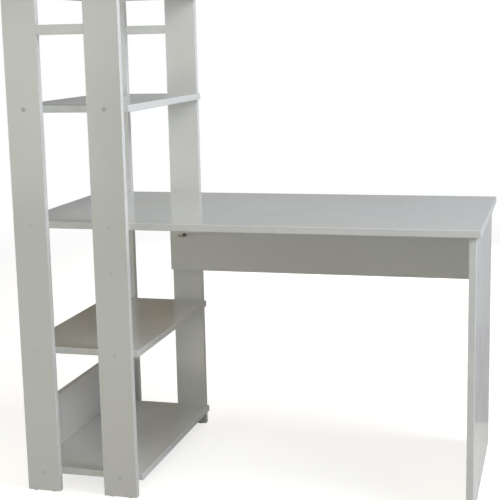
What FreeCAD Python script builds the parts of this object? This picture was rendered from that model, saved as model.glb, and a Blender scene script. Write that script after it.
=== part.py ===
import FreeCAD, Part
import Sketcher
import os
import re

# Study desk with an open shelving tower at its left end, in millimetres.
# +Z is up and the front faces -Y. The origin is on the floor, under the middle of the outer box.

Vector = FreeCAD.Vector
Rotation = FreeCAD.Rotation

DIMENSIONS = [
    ("board", 18, "thickness of every board"),
    ("band", 2, "thickness of the edge bands"),
    ("band_round", 1.5, "rounding of the bands' long edges"),
    ("seam", 0.02, "seam where two bands meet at a corner"),
    ("desk_length", 1200, "length of the worktop"),
    ("shelf_depth", 600, "depth of the worktop and of every shelf"),
    ("post_width", 93, "width of a tower post"),
    ("tower_width", 313, "width over the two posts of one side"),
    ("over_left", 3, "how far the shelves stand out past the posts at the left"),
    ("over_right", 12, "how far the shelves stand out past the posts at the right"),
    ("bottom_level", 63, "top face of the bottom shelf"),
    ("lower_level", 399, "top face of the shelf below the worktop"),
    ("desk_level", 735, "top face of the worktop"),
    ("upper_level", 1034, "top face of the first shelf above the worktop"),
    ("rail_top", 1236, "top edge of the two short rails between the posts near the tower's top"),
    ("rail_height", 25, "height of these rails"),
    ("top_level", 1328, "top face of the top shelf and top end of the posts"),
    ("side_board_height", 148, "height of the low board at the left of the bottom shelf"),
    ("leg_depth", 580, "depth of the leg panel"),
    ("leg_inset", 12, "how far the worktop stands out past the leg panel"),
    ("modesty_height", 221, "height of the modesty panel"),
    ("play", 0.1, "room round a fastener in its hole"),
    ("screw_length", 50, "length of a connecting screw"),
    ("screw_radius", 3.5, "radius over the screw's thread"),
    ("core_radius", 2.5, "radius at the root of the screw's thread"),
    ("head_radius", 5, "radius of the screw's flat head"),
    ("shank_length", 10, "length of the screw's head and plain shank"),
    ("point_length", 4, "length of the screw's point"),
    ("point_radius", 0.6, "radius at the very end of the screw's point"),
    ("thread_step", 3, "distance from one thread turn to the next"),
    ("socket_radius", 2.3, "corner radius of the hexagon socket"),
    ("socket_depth", 3.5, "depth of the hexagon socket"),
    ("side_screw_inset", 60, "distance of the side board's outer screws from its ends"),
    ("cap_radius", 6, "radius of a screw cover cap"),
    ("cap_height", 0.8, "height of a screw cover cap"),
    ("dowel_radius", 4, "radius of a wooden dowel"),
    ("dowel_length", 30, "length of a wooden dowel"),
    ("dowel_chamfer", 1, "chamfer at a dowel's ends"),
    ("dowel_face_depth", 12, "depth of a dowel in the face of a board"),
    ("dowel_spread", 30, "distance of a tower dowel from the post's middle line"),
    ("glide_height", 2, "height of a glide's pad under posts and leg"),
    ("glide_radius", 8.5, "radius of a glide's pad"),
    ("glide_chamfer", 0.7, "chamfer at the foot of a glide's pad"),
    ("nail_radius", 1, "radius of a glide's nail"),
    ("nail_length", 13, "length of a glide's nail above its pad"),
    ("nail_point", 2, "length of the nail's point"),
    ("glide_inset", 20, "distance of a glide from the post's edge"),
    ("cam_radius", 7.5, "radius of a cam"),
    ("cam_depth", 12.5, "depth of a cam"),
    ("cam_reach", 34, "distance from a board's edge to the middle of a cam"),
    ("cam_slot_length", 9, "length of the cross slot in a cam"),
    ("cam_slot_width", 1.6, "width of the cross slot in a cam"),
    ("cam_slot_depth", 2.5, "depth of the cross slot in a cam"),
    ("fitting_step", 60, "distance of the first cam from a board's end, and of the dowel beside it"),
    ("bolt_radius", 3, "radius of a cam bolt"),
    ("bolt_thread", 11, "length of a cam bolt's thread"),
    ("bolt_neck", 4, "length of the thin neck behind a cam bolt's head"),
    ("bolt_head", 3.5, "length of a cam bolt's head"),
    ("cover_radius", 8.5, "radius of a cam cover"),
    ("cover_height", 1, "height of a cam cover"),
    ("stem_radius", 0.7, "radius of a cam cover's stem"),
]
ALIASES = {alias for alias, value, meaning in DIMENSIONS}
SCREW_TURNS = 11
BOLT_TURNS = 3

document = FreeCAD.newDocument("study_desk")
sizes = document.addObject("Spreadsheet::Sheet", "Sizes")
for row, (alias, value, meaning) in enumerate(DIMENSIONS, 1):
    sizes.set("A%d" % row, meaning)
    sizes.set("B%d" % row, str(value))
    sizes.setAlias("B%d" % row, alias)
document.recompute()


def spelled(expression):
    """The expression as the document reads it, with the sheet's name before each alias."""
    def named(word):
        return "Sizes." + word[0] if word[0] in ALIASES else word[0]
    return re.sub("[a-z_]+", named, expression)


def worth(expression):
    """The expression's value in millimetres."""
    return float(sizes.evalExpression(spelled(expression)))


# Planes and lengths that several pieces share, as expressions of the sheet's dimensions.
LEFT = "(-desk_length / 2)"
SHELF_FRONT = "(-shelf_depth / 2)"
SHELF_BACK = "(shelf_depth / 2)"
POST_FRONT = "(-shelf_depth / 2 - board)"
POST_BACK = "(shelf_depth / 2 + board)"
LEFT_POST = "(-desk_length / 2 + over_left)"
RIGHT_POST = "(-desk_length / 2 + over_left + tower_width - post_width)"
POST_HEIGHT = "(top_level - glide_height)"
SHELF_WIDTH = "(over_left + tower_width + over_right)"
UNDER_DESK = "(desk_level - board)"
LEG_LEFT = "(desk_length / 2 - leg_inset - board)"
LEG_FRONT = "(shelf_depth / 2 - leg_depth)"
LEG_HEIGHT = "(desk_level - board - glide_height)"
PANEL_LENGTH = "(desk_length - leg_inset - board - over_left - tower_width + post_width)"
PANEL_FOOT = "(desk_level - board - modesty_height)"
PANEL_MIDDLE = "(desk_level - board - modesty_height / 2)"
DOWEL_EDGE_DEPTH = "(dowel_length - dowel_face_depth)"
DOWEL_SHIFT = "(dowel_length / 2 - dowel_face_depth)"

SCREWED_LEVELS = ["bottom_level", "lower_level", "desk_level", "upper_level", "top_level"]
RAIL_LENGTH = "(tower_width - 2 * post_width)"
RAIL_MIDDLE = "(rail_top - rail_height / 2)"

# Middle lines of the posts, and places along a board, each from that board's own corner.
POST_MIDDLES = ["over_left + post_width / 2", "over_left + tower_width - post_width / 2"]
SIDE_SCREWS = ["side_screw_inset", "shelf_depth / 2", "shelf_depth - side_screw_inset"]
LEG_CAMS = ["fitting_step", "leg_depth - 2 * fitting_step"]
LEG_DOWELS = ["2 * fitting_step", "leg_depth / 2", "leg_depth - 3 * fitting_step"]
PANEL_CAMS = ["post_width + fitting_step", PANEL_LENGTH + " / 2", PANEL_LENGTH + " - 2 * fitting_step"]
PANEL_DOWELS = ["post_width + 2 * fitting_step", PANEL_LENGTH + " - 3 * fitting_step"]
PANEL_END_CAMS = ["modesty_height / 5", "modesty_height * 2 / 3"]
PANEL_END_DOWEL = "modesty_height * 2 / 5"

# For each drilled side: the origin plane it is sketched on, the sign that turns a place along the
# axis into that plane's own offset, and whether the cut runs along the plane's normal.
SIDES = {
    "front": ("XZ_Plane", "-1", False),
    "back": ("XZ_Plane", "-1", True),
    "left": ("YZ_Plane", "1", True),
    "right": ("YZ_Plane", "1", False),
    "bottom": ("XY_Plane", "1", True),
    "top": ("XY_Plane", "1", False),
}
SKETCH_AXES = {"XY_Plane": ("x", "y"), "XZ_Plane": ("x", "z"), "YZ_Plane": ("y", "z")}
ORIGIN = (-1, 1)
START, END, CENTRE = 1, 2, 3
SAME_PLACE = 1e-6


def sketch_on(body, name, plane_role, offset="0"):
    """An empty sketch parallel to one of the body's own origin planes."""
    plane = next(feature for feature in body.Origin.OriginFeatures if feature.Role == plane_role)
    sketch = body.newObject("Sketcher::SketchObject", name)
    sketch.AttachmentSupport = (plane, [""])
    sketch.MapMode = "FlatFace"
    sketch.setExpression("AttachmentOffset.Base.z", spelled(offset))
    return sketch


def dimension(sketch, kind, *where, size):
    """One dimension of a sketch, tied to the sheet."""
    index = sketch.addConstraint(Sketcher.Constraint(kind, *where, worth(size)))
    sketch.setExpression("Constraints[%d]" % index, spelled(size))


def rectangle(sketch, low_u, high_u, low_v, high_v):
    """A rectangle whose four sides are placed from the sketch's origin."""
    u0, u1, v0, v1 = worth(low_u), worth(high_u), worth(low_v), worth(high_v)
    corners = [Vector(u0, v0, 0), Vector(u1, v0, 0), Vector(u1, v1, 0), Vector(u0, v1, 0)]
    first = sketch.GeometryCount
    for index in range(4):
        sketch.addGeometry(Part.LineSegment(corners[index], corners[(index + 1) % 4]), False)
    for index, direction in enumerate(("Horizontal", "Vertical", "Horizontal", "Vertical")):
        side, following = first + index, first + (index + 1) % 4
        sketch.addConstraint(Sketcher.Constraint("Coincident", side, END, following, START))
        sketch.addConstraint(Sketcher.Constraint(direction, side))
    dimension(sketch, "DistanceX", *ORIGIN, first, START, size=low_u)
    dimension(sketch, "DistanceX", *ORIGIN, first, END, size=high_u)
    dimension(sketch, "DistanceY", *ORIGIN, first, START, size=low_v)
    dimension(sketch, "DistanceY", *ORIGIN, first + 2, START, size=high_v)


def circles(sketch, centres, radius):
    """Equal circles, each centre placed from the sketch's origin."""
    for index, (u, v) in enumerate(centres):
        centre = Vector(worth(u), worth(v), 0)
        sketch.addGeometry(Part.Circle(centre, Vector(0, 0, 1), worth(radius)), False)
        if index:
            sketch.addConstraint(Sketcher.Constraint("Equal", 0, index))
        dimension(sketch, "DistanceX", *ORIGIN, index, CENTRE, size=u)
        dimension(sketch, "DistanceY", *ORIGIN, index, CENTRE, size=v)
    dimension(sketch, "Radius", 0, size=radius)


def must_cut(body, name, volume_before):
    """Stops the build where a cut has taken nothing away."""
    document.recompute()
    if body.Shape.Volume > volume_before - 1:
        raise RuntimeError("%s cuts nothing from %s" % (name, body.Label))


def drill(bodies, name, side, face_at, centres, radius, depth):
    """Round holes into one side of each body; face_at is where that side lies along its axis."""
    plane_role, sign, along_normal = SIDES[side]
    for body in bodies:
        volume_before = body.Shape.Volume
        sketch = sketch_on(body, name + "_sketch", plane_role, "%s * (%s)" % (sign, face_at))
        circles(sketch, centres, radius)
        pocket = body.newObject("PartDesign::Pocket", name)
        pocket.Profile = sketch
        pocket.setExpression("Length", spelled(depth))
        pocket.Reversed = along_normal
        must_cut(body, name, volume_before)


def drill_for_dowels(bodies, name, side, face_at, centres, depth):
    drill(bodies, name, side, face_at, centres, "dowel_radius + play", depth + " + play")


def drill_countersunk(body, name, side, face_at, centres):
    """Through holes for connecting screws, countersunk at the side they are driven from."""
    plane_role, sign, along_normal = SIDES[side]
    volume_before = body.Shape.Volume
    sketch = sketch_on(body, name + "_sketch", plane_role, "%s * (%s)" % (sign, face_at))
    circles(sketch, centres, "screw_radius + play")
    document.recompute()
    hole = body.newObject("PartDesign::Hole", name)
    hole.Profile = sketch
    document.recompute()
    hole.Reversed = along_normal
    hole.DepthType = "ThroughAll"
    hole.HoleCutType = "Countersink"
    hole.HoleCutCustomValues = True
    hole.HoleCutCountersinkAngle = 90
    hole.setExpression("Diameter", spelled("2 * (screw_radius + play)"))
    hole.setExpression("HoleCutDiameter", spelled("2 * (head_radius + play)"))
    must_cut(body, name, volume_before)


def flat_body(label, plane_role, corner, rectangles):
    """A body as thick as the board, padded from rectangles, with its low corner at a given place."""
    body = document.addObject("PartDesign::Body", label)
    body.Label = label
    for axis, expression in zip("xyz", corner):
        body.setExpression("Placement.Base." + axis, spelled(expression))
    outline = sketch_on(body, "outline", plane_role)
    for sides in rectangles:
        rectangle(outline, *sides)
    pad = body.newObject("PartDesign::Pad", "thickness")
    pad.Profile = outline
    pad.setExpression("Length", spelled("board"))
    pad.Reversed = plane_role == "XZ_Plane"
    document.recompute()
    return body


def outer_edges(shape, plane_role, size):
    """The edges along the board where the bands' outer sides meet its two faces."""
    names = []
    for number, edge in enumerate(shape.Edges, 1):
        start, end = edge.Vertexes[0].Point, edge.Vertexes[-1].Point
        steady_axes = 0
        on_side = False
        for axis, length in zip(SKETCH_AXES[plane_role], size):
            place = getattr(start, axis)
            if abs(place - getattr(end, axis)) < SAME_PLACE:
                steady_axes += 1
                on_side = on_side or min(abs(place), abs(place - length)) < SAME_PLACE
        if steady_axes == 1 and on_side and edge.Length > worth("2 * band"):
            names.append("Edge%d" % number)
    return names


class Board:
    """A board: its core and the bands glued to its edges, drilled together."""

    def __init__(self, name, plane_role, width, height, corner, bare_foot=False, bare_ends=False):
        self.plane_role = plane_role
        self.size = (worth(width), worth(height))
        foot = "0" if bare_foot else "band"
        end = "0" if bare_ends else "band"
        core = [(end, width + " - " + end, foot, height + " - band")]
        self.core = flat_body(name, plane_role, corner, core)
        side_low = "0" if bare_foot else "band + seam"
        side_high = height + " - band - seam"
        strips = [("0", width, height + " - band", height)]
        if not bare_foot:
            strips.append(("0", width, "0", "band"))
        if not bare_ends:
            strips.append(("0", "band", side_low, side_high))
            strips.append((width + " - band", width, side_low, side_high))
        self.bands = flat_body(name + "_edge_bands", plane_role, corner, strips)
        self.both = [self.core, self.bands]

    def round_bands(self):
        """Rounds the bands' long outer edges; the holes are drilled before this."""
        drilled = self.bands.Tip
        rounding = self.bands.newObject("PartDesign::Fillet", "rounding")
        rounding.Base = (drilled, outer_edges(drilled.Shape, self.plane_role, self.size))
        rounding.setExpression("Radius", spelled("band_round"))
        document.recompute()


def post(name, left, at_front, panel_hole):
    """One of the tower's four posts: a tall board whose wide faces look to the front and back."""
    corner = (left, POST_FRONT if at_front else SHELF_BACK, "glide_height")
    board = Board(name, "XZ_Plane", "post_width", POST_HEIGHT, corner, bare_foot=True)
    outer, inner = ("front", "back") if at_front else ("back", "front")
    outer_at, inner_at = ("0", "board") if at_front else ("board", "0")
    screws = [("post_width / 2", level + " - board / 2 - glide_height") for level in SCREWED_LEVELS]
    if panel_hole:
        screws.append(("post_width / 2", PANEL_MIDDLE + " - glide_height"))
    drill_countersunk(board.core, "screw_holes", outer, outer_at, screws)
    dowels = [("post_width / 2 %s dowel_spread" % sign, level + " - board / 2 - glide_height")
              for level in SCREWED_LEVELS for sign in "+-"]
    drill_for_dowels([board.core], "dowel_holes", inner, inner_at, dowels, "dowel_face_depth")
    rail_side, rail_at = ("right", "post_width") if left == LEFT_POST else ("left", "0")
    rail_dowel = [("board / 2", RAIL_MIDDLE + " - glide_height")]
    drill_for_dowels(board.both, "rail_dowel_hole", rail_side, rail_at, rail_dowel, "dowel_face_depth")
    nails = [("glide_inset", "board / 2"), ("post_width - glide_inset", "board / 2")]
    drill([board.core], "nail_holes", "bottom", "0", nails, "nail_radius + play", "nail_length + play")
    board.round_bands()


def high_rail(name, near):
    """A short rail between the tower's two front or two back posts, flush with them."""
    corner = (LEFT_POST + " + post_width", near, "rail_top - rail_height")
    board = Board(name, "XZ_Plane", RAIL_LENGTH, "rail_height", corner, bare_ends=True)
    dowel = [("board / 2", "rail_height / 2")]
    for side, face_at in (("left", "0"), ("right", RAIL_LENGTH)):
        drill_for_dowels([board.core], side + "_dowel_hole", side, face_at, dowel, DOWEL_EDGE_DEPTH)
    board.round_bands()


def level_board(name, level, width):
    """A shelf or the worktop, held between the front and back posts."""
    board = Board(name, "XY_Plane", width, "shelf_depth", (LEFT, SHELF_FRONT, level + " - board"))
    screws = [(middle, "board / 2") for middle in POST_MIDDLES]
    dowels = [("%s %s dowel_spread" % (middle, sign), "board / 2") for middle in POST_MIDDLES
              for sign in "+-"]
    for side, face_at in (("front", "0"), ("back", "shelf_depth")):
        drill_for_dowels(board.both, side + "_dowel_holes", side, face_at, dowels, DOWEL_EDGE_DEPTH)
        drill(board.both, side + "_screw_holes", side, face_at, screws, "screw_radius + play",
              "screw_length - board + play")
    return board


def bottom_shelf():
    """The lowest shelf, also drilled for the screws that hold the low side board."""
    board = level_board("bottom_shelf", "bottom_level", SHELF_WIDTH)
    screws = [("board / 2", y) for y in SIDE_SCREWS]
    drill_countersunk(board.core, "side_board_holes", "bottom", "0", screws)
    board.round_bands()


def bottom_side_board():
    """The low board on the bottom shelf's left edge, which keeps things from sliding out."""
    corner = (LEFT, SHELF_FRONT, "bottom_level")
    board = Board("bottom_side_board", "YZ_Plane", "shelf_depth", "side_board_height", corner)
    screws = [("board / 2", y) for y in SIDE_SCREWS]
    drill(board.both, "screw_holes", "bottom", "0", screws, "screw_radius + play",
          "screw_length - board + play")
    board.round_bands()


def worktop():
    """The worktop: one long board that runs through the tower to the desk's right end."""
    board = level_board("desktop", "desk_level", "desk_length")
    leg_line = "desk_length - leg_inset - board / 2"
    panel_line = "shelf_depth - board / 2"
    leg_front = "shelf_depth - leg_depth + "
    panel_start = "over_left + tower_width - post_width + "
    bolts = [(leg_line, leg_front + y) for y in LEG_CAMS]
    bolts += [(panel_start + x, panel_line) for x in PANEL_CAMS]
    drill([board.core], "bolt_holes", "bottom", "0", bolts, "bolt_radius + play", "bolt_thread + play")
    dowels = [(leg_line, leg_front + y) for y in LEG_DOWELS]
    dowels += [(panel_start + x, panel_line) for x in PANEL_DOWELS]
    drill_for_dowels([board.core], "under_dowel_holes", "bottom", "0", dowels, "dowel_face_depth")
    board.round_bands()


def drill_for_cams(board, face, face_at, edge, edge_at, seats, channels):
    """Seats for cams in a board's face, and the channels that lead the bolts to them."""
    drill([board.core], edge + "_cam_seats", face, face_at, seats, "cam_radius + play", "cam_depth + play")
    drill(board.both, edge + "_bolt_channels", edge, edge_at, channels, "dowel_radius", "cam_reach")


def right_leg_panel():
    """The full-depth leg panel at the right end, hung from the worktop by cams and dowels."""
    corner = (LEG_LEFT, LEG_FRONT, "glide_height")
    board = Board("right_leg_panel", "YZ_Plane", "leg_depth", LEG_HEIGHT, corner, bare_foot=True)
    seats = [(y, LEG_HEIGHT + " - cam_reach") for y in LEG_CAMS]
    channels = [("board / 2", y) for y in LEG_CAMS]
    drill_for_cams(board, "left", "0", "top", LEG_HEIGHT, seats, channels)
    dowels = [("board / 2", y) for y in LEG_DOWELS]
    drill_for_dowels(board.both, "top_dowel_holes", "top", LEG_HEIGHT, dowels, DOWEL_EDGE_DEPTH)
    panel_line = "leg_depth - board / 2"
    panel_foot = PANEL_FOOT + " - glide_height + "
    bolts = [(panel_line, panel_foot + z) for z in PANEL_END_CAMS]
    drill([board.core], "panel_bolt_holes", "left", "0", bolts, "bolt_radius + play",
          "bolt_thread + play")
    dowels = [(panel_line, panel_foot + PANEL_END_DOWEL)]
    drill_for_dowels([board.core], "panel_dowel_hole", "left", "0", dowels, "dowel_face_depth")
    nails = [("board / 2", "2 * glide_inset"), ("board / 2", "leg_depth - 2 * glide_inset")]
    drill([board.core], "nail_holes", "bottom", "0", nails, "nail_radius + play", "nail_length + play")
    board.round_bands()


def modesty_panel():
    """The panel under the worktop's back edge, from the tower's back right post to the leg."""
    corner = (RIGHT_POST, SHELF_BACK + " - board", PANEL_FOOT)
    board = Board("modesty_panel", "XZ_Plane", PANEL_LENGTH, "modesty_height", corner)
    seats = [(x, "modesty_height - cam_reach") for x in PANEL_CAMS]
    channels = [(x, "board / 2") for x in PANEL_CAMS]
    drill_for_cams(board, "back", "board", "top", "modesty_height", seats, channels)
    seats = [(PANEL_LENGTH + " - cam_reach", z) for z in PANEL_END_CAMS]
    channels = [("board / 2", z) for z in PANEL_END_CAMS]
    drill_for_cams(board, "back", "board", "right", PANEL_LENGTH, seats, channels)
    dowels = [(x, "board / 2") for x in PANEL_DOWELS]
    drill_for_dowels(board.both, "top_dowel_holes", "top", "modesty_height", dowels, DOWEL_EDGE_DEPTH)
    dowels = [("board / 2", PANEL_END_DOWEL)]
    drill_for_dowels(board.both, "end_dowel_hole", "right", PANEL_LENGTH, dowels, DOWEL_EDGE_DEPTH)
    screw = [("post_width / 2", "modesty_height / 2")]
    drill([board.core], "screw_hole", "back", "board", screw, "screw_radius + play", "board")
    board.round_bands()


def primitive(kind, name, low, **properties):
    """A round or prismatic solid along Z, with its foot at the given height."""
    solid = document.addObject("Part::" + kind, name)
    for key, expression in properties.items():
        solid.setExpression(key, spelled(expression))
    solid.setExpression("Placement.Base.z", spelled(low))
    return solid


def cylinder(name, low, height, radius):
    return primitive("Cylinder", name, low, Height=height, Radius=radius)


def cone(name, low, height, low_radius, high_radius):
    return primitive("Cone", name, low, Height=height, Radius1=low_radius, Radius2=high_radius)


def hexagon(name, low, height, corner_radius):
    return primitive("Prism", name, low, Height=height, Circumradius=corner_radius)


def fused(name, solids):
    whole = document.addObject("Part::MultiFuse", name)
    whole.Shapes = solids
    return whole


def without(name, base, tool):
    rest = document.addObject("Part::Cut", name)
    rest.Base = base
    rest.Tool = tool
    return rest


def thread_turns(name, low, turns, root_radius, tip_radius):
    """Raised rings that stand for a thread, one for each turn."""
    rings = []
    flank = "thread_step / 3"
    for turn in range(turns):
        foot = "%s + %d * thread_step" % (low, turn)
        rings.append(cone(name + "_rise", foot, flank, root_radius, tip_radius))
        rings.append(cone(name + "_fall", foot + " + " + flank, flank, tip_radius, root_radius))
    return rings


def connecting_screw():
    """Wood connecting screw: its flat head at z = 0, thread and point below it."""
    countersink = "head_radius - screw_radius"
    point_end = "-screw_length + point_length"
    pieces = [
        cone("screw_head", "-(%s)" % countersink, countersink, "screw_radius", "head_radius"),
        cylinder("screw_shank", "-shank_length", "shank_length - (%s)" % countersink, "screw_radius"),
        cylinder("screw_core", point_end, "screw_length - point_length - shank_length", "core_radius"),
        cone("screw_point", "-screw_length", "point_length", "point_radius", "core_radius"),
    ]
    pieces += thread_turns("screw_turn", point_end, SCREW_TURNS, "core_radius", "screw_radius")
    socket = hexagon("screw_socket", "-socket_depth", "socket_depth + play", "socket_radius")
    return without("connecting_screw", fused("screw_body", pieces), socket)


def cover_cap():
    """Plastic cap that hides a screw head: a thin disc with a six-sided stem in the socket."""
    return fused("cover_cap", [
        cylinder("cap_disc", "0", "cap_height / 2", "cap_radius"),
        cone("cap_crown", "cap_height / 2", "cap_height / 2", "cap_radius", "cap_radius - cap_height"),
        hexagon("cap_stem", "play - socket_depth", "socket_depth", "socket_radius - play"),
    ])


def wooden_dowel():
    """Dowel with chamfered ends, its middle at the origin."""
    end = "dowel_length / 2"
    shaft_end = "(dowel_length / 2 - dowel_chamfer)"
    tip_radius = "dowel_radius - dowel_chamfer"
    return fused("wooden_dowel", [
        cone("dowel_foot", "-" + end, "dowel_chamfer", tip_radius, "dowel_radius"),
        cylinder("dowel_shaft", "-" + shaft_end, "2 * " + shaft_end, "dowel_radius"),
        cone("dowel_head", shaft_end, "dowel_chamfer", "dowel_radius", tip_radius),
    ])


def nail_glide():
    """Glide under a board: a plastic pad that stands on the floor, with a nail in it."""
    shaft = "nail_length - nail_point"
    return fused("nail_glide", [
        cone("glide_rim", "0", "glide_chamfer", "glide_radius - glide_chamfer", "glide_radius"),
        cylinder("glide_pad", "glide_chamfer", "glide_height - glide_chamfer", "glide_radius"),
        cylinder("glide_nail", "glide_height", shaft, "nail_radius"),
        cone("glide_point", "glide_height + " + shaft, "nail_point", "nail_radius", "nail_radius / 5"),
    ])


def cam_lock():
    """Round cam, flush with the board's face at z = 0 and open along +X for the bolt's head."""
    barrel = cylinder("cam_barrel", "-cam_depth", "cam_depth", "cam_radius")
    channel = cylinder("cam_channel", "-board / 2", "cam_radius * 3 / 2", "bolt_radius * 6 / 5")
    channel.Placement.Rotation = Rotation(Vector(0, 1, 0), 90)
    channel.setExpression("Placement.Base.x", spelled("-cam_radius / 2"))
    slots = []
    for name, size_x, size_y in (("cam_slot", "cam_slot_length", "cam_slot_width"),
                                 ("cam_cross_slot", "cam_slot_width", "cam_slot_length")):
        slot = primitive("Box", name, "-cam_slot_depth", Length=size_x, Width=size_y,
                         Height="cam_slot_depth + play")
        slot.setExpression("Placement.Base.x", spelled("-%s / 2" % size_x))
        slot.setExpression("Placement.Base.y", spelled("-%s / 2" % size_y))
        slots.append(slot)
    return without("cam_lock", barrel, fused("cam_hollows", [channel] + slots))


def cam_bolt():
    """Bolt of a cam joint: thread below z = 0 in one board, shaft and head above it in the other."""
    neck_at = "(cam_reach - bolt_neck - bolt_head / 2)"
    head_at = "(cam_reach - bolt_head / 2)"
    root_radius = "bolt_radius * 3 / 4"
    pieces = [
        cylinder("bolt_core", "-bolt_thread", "bolt_thread", root_radius),
        cylinder("bolt_shaft", "0", neck_at, "bolt_radius"),
        cylinder("bolt_neck", neck_at, "bolt_neck", "bolt_radius / 2"),
        cone("bolt_head", head_at, "bolt_head", "bolt_radius", "bolt_radius * 3 / 4"),
    ]
    pieces += thread_turns("bolt_turn", "thread_step / 3 - bolt_thread", BOLT_TURNS, root_radius,
                           "bolt_radius")
    return fused("cam_bolt", pieces)


def cam_cover():
    """Plastic cover over a cam: a thin disc with a small stem in the cam's cross slot."""
    half = "cover_height / 2"
    return fused("cam_cover", [
        cylinder("cover_disc", "0", half, "cover_radius"),
        cone("cover_crown", half, half, "cover_radius", "cover_radius - cover_height"),
        cylinder("cover_stem", "play - cam_slot_depth", "cam_slot_depth", "stem_radius"),
    ])


def group(name, master, places):
    """One node of equal pieces: a copy of the master at each place, turned as told."""
    copies = []
    for number, (x, y, z, turn) in enumerate(places, 1):
        copy = document.addObject("App::Link", "%s_%d" % (name, number))
        copy.LinkedObject = master
        copy.Placement = FreeCAD.Placement(Vector(), turn)
        for axis, expression in zip("xyz", (x, y, z)):
            copy.setExpression("Placement.Base." + axis, spelled(expression))
        copies.append(copy)
    compound = document.addObject("Part::Compound", name)
    compound.Label = name
    compound.Links = copies


# Turns that take a fastener's own +Z out of the front, the back, the left side or the underside.
UPRIGHT = Rotation()
OUT_FRONT = Rotation(Vector(1, 0, 0), 90)
OUT_BACK = Rotation(Vector(1, 0, 0), -90)
OUT_DOWN = Rotation(Vector(1, 0, 0), 180)
OUT_LEFT = Rotation(Vector(0, 1, 0), -90)
OUT_BACK_OPEN_UP = OUT_BACK * Rotation(Vector(0, 0, 1), -90)


def shelf_fasteners(board_name, level, screw, cap, dowel):
    """The dowels, screws and caps that hold one shelf between the four posts."""
    height = level + " - board / 2"
    lines = [LEFT + " + " + middle for middle in POST_MIDDLES]
    dowels = []
    for line in lines:
        for sign in "+-":
            x = "%s %s dowel_spread" % (line, sign)
            dowels.append((x, SHELF_FRONT + " + " + DOWEL_SHIFT, height, OUT_FRONT))
            dowels.append((x, SHELF_BACK + " - " + DOWEL_SHIFT, height, OUT_BACK))
    group(board_name + "_dowels", dowel, dowels)
    heads = [(line, POST_FRONT, height, OUT_FRONT) for line in lines]
    heads += [(line, POST_BACK, height, OUT_BACK) for line in lines]
    group(board_name + "_screws", screw, heads)
    group(board_name + "_screw_caps", cap, heads)


def rail_fasteners(dowel):
    """The dowels between the ends of the high rails and the posts' inner edges."""
    start = LEFT_POST + " + post_width + "
    places = []
    for middle in (POST_FRONT + " + board / 2", SHELF_BACK + " + board / 2"):
        places.append((start + DOWEL_SHIFT, middle, RAIL_MIDDLE, OUT_LEFT))
        places.append((start + RAIL_LENGTH + " - " + DOWEL_SHIFT, middle, RAIL_MIDDLE, OUT_LEFT))
    group("high_rail_dowels", dowel, places)


def side_board_fasteners(screw):
    """The screws driven up through the bottom shelf into the low side board."""
    places = [(LEFT + " + board / 2", SHELF_FRONT + " + " + y, "bottom_level - board", OUT_DOWN)
              for y in SIDE_SCREWS]
    group("side_board_screws", screw, places)


def panel_fasteners(screw, cap, dowel, cam, bolt, cover):
    """What holds the modesty panel to the back right post, the worktop and the leg."""
    post_line = LEFT + " + " + POST_MIDDLES[1]
    panel_line = SHELF_BACK + " - board / 2"
    panel_start = RIGHT_POST + " + "
    panel_foot = PANEL_FOOT + " + "
    behind = (post_line, POST_BACK, PANEL_MIDDLE, OUT_BACK)
    before = (post_line, POST_FRONT, PANEL_MIDDLE, OUT_FRONT)
    group("modesty_post_screw", screw, [behind])
    group("panel_hole_caps", cap, [behind, before])
    cams = [(panel_start + x, SHELF_BACK, UNDER_DESK + " - cam_reach", OUT_BACK_OPEN_UP)
            for x in PANEL_CAMS]
    cams += [(LEG_LEFT + " - cam_reach", SHELF_BACK, panel_foot + z, OUT_BACK) for z in PANEL_END_CAMS]
    group("modesty_cams", cam, cams)
    group("modesty_cam_covers", cover, cams)
    bolts = [(panel_start + x, panel_line, UNDER_DESK, OUT_DOWN) for x in PANEL_CAMS]
    bolts += [(LEG_LEFT, panel_line, panel_foot + z, OUT_LEFT) for z in PANEL_END_CAMS]
    group("modesty_cam_bolts", bolt, bolts)
    dowels = [(panel_start + x, panel_line, UNDER_DESK + " - " + DOWEL_SHIFT, UPRIGHT)
              for x in PANEL_DOWELS]
    dowels.append((LEG_LEFT + " - " + DOWEL_SHIFT, panel_line, panel_foot + PANEL_END_DOWEL, OUT_LEFT))
    group("modesty_dowels", dowel, dowels)


def leg_fasteners(dowel, cam, bolt, cover):
    """What holds the leg panel under the worktop."""
    line = LEG_LEFT + " + board / 2"
    from_front = LEG_FRONT + " + "
    cams = [(LEG_LEFT, from_front + y, UNDER_DESK + " - cam_reach", OUT_LEFT) for y in LEG_CAMS]
    group("leg_cams", cam, cams)
    group("leg_cam_covers", cover, cams)
    group("leg_cam_bolts", bolt, [(line, from_front + y, UNDER_DESK, OUT_DOWN) for y in LEG_CAMS])
    dowels = [(line, from_front + y, UNDER_DESK + " - " + DOWEL_SHIFT, UPRIGHT) for y in LEG_DOWELS]
    group("leg_dowels", dowel, dowels)


def glides(glide):
    """The glides that the four posts and the leg panel stand on."""
    posts = {
        "front_left_post": (LEFT_POST, POST_FRONT),
        "front_right_post": (RIGHT_POST, POST_FRONT),
        "rear_left_post": (LEFT_POST, SHELF_BACK),
        "rear_right_post": (RIGHT_POST, SHELF_BACK),
    }
    for name, (left, near) in posts.items():
        places = [(left + " + " + x, near + " + board / 2", "0", UPRIGHT)
                  for x in ("glide_inset", "post_width - glide_inset")]
        group(name + "_glides", glide, places)
    places = [(LEG_LEFT + " + board / 2", LEG_FRONT + " + " + y, "0", UPRIGHT)
              for y in ("2 * glide_inset", "leg_depth - 2 * glide_inset")]
    group("leg_glides", glide, places)


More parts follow.
